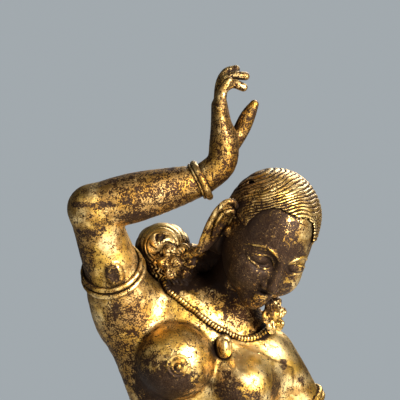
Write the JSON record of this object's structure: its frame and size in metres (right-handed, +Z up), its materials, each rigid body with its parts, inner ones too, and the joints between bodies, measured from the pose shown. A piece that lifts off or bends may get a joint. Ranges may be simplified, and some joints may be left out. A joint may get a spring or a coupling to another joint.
{
  "type": "dancing goddess figure",
  "caption": "Small gilt copper-alloy figure of a dancing goddess, one arm raised over the bowed head, on a low oval lotus base.",
  "frame": {"origin": "centre of the base's underside", "axes": "+Z up, the figure faces -Y, +X to the figure's left"},
  "size_m": [0.068, 0.0544, 0.2019],
  "materials": {
    "gilt_figure": "worn fire gilding over dark copper alloy",
    "gilt_base": "worn fire gilding over dark copper alloy"
  },
  "bodies": {
    "root": {"figure": "gilt_figure", "lotus_base": "gilt_base"}
  },
  "joints": []
}
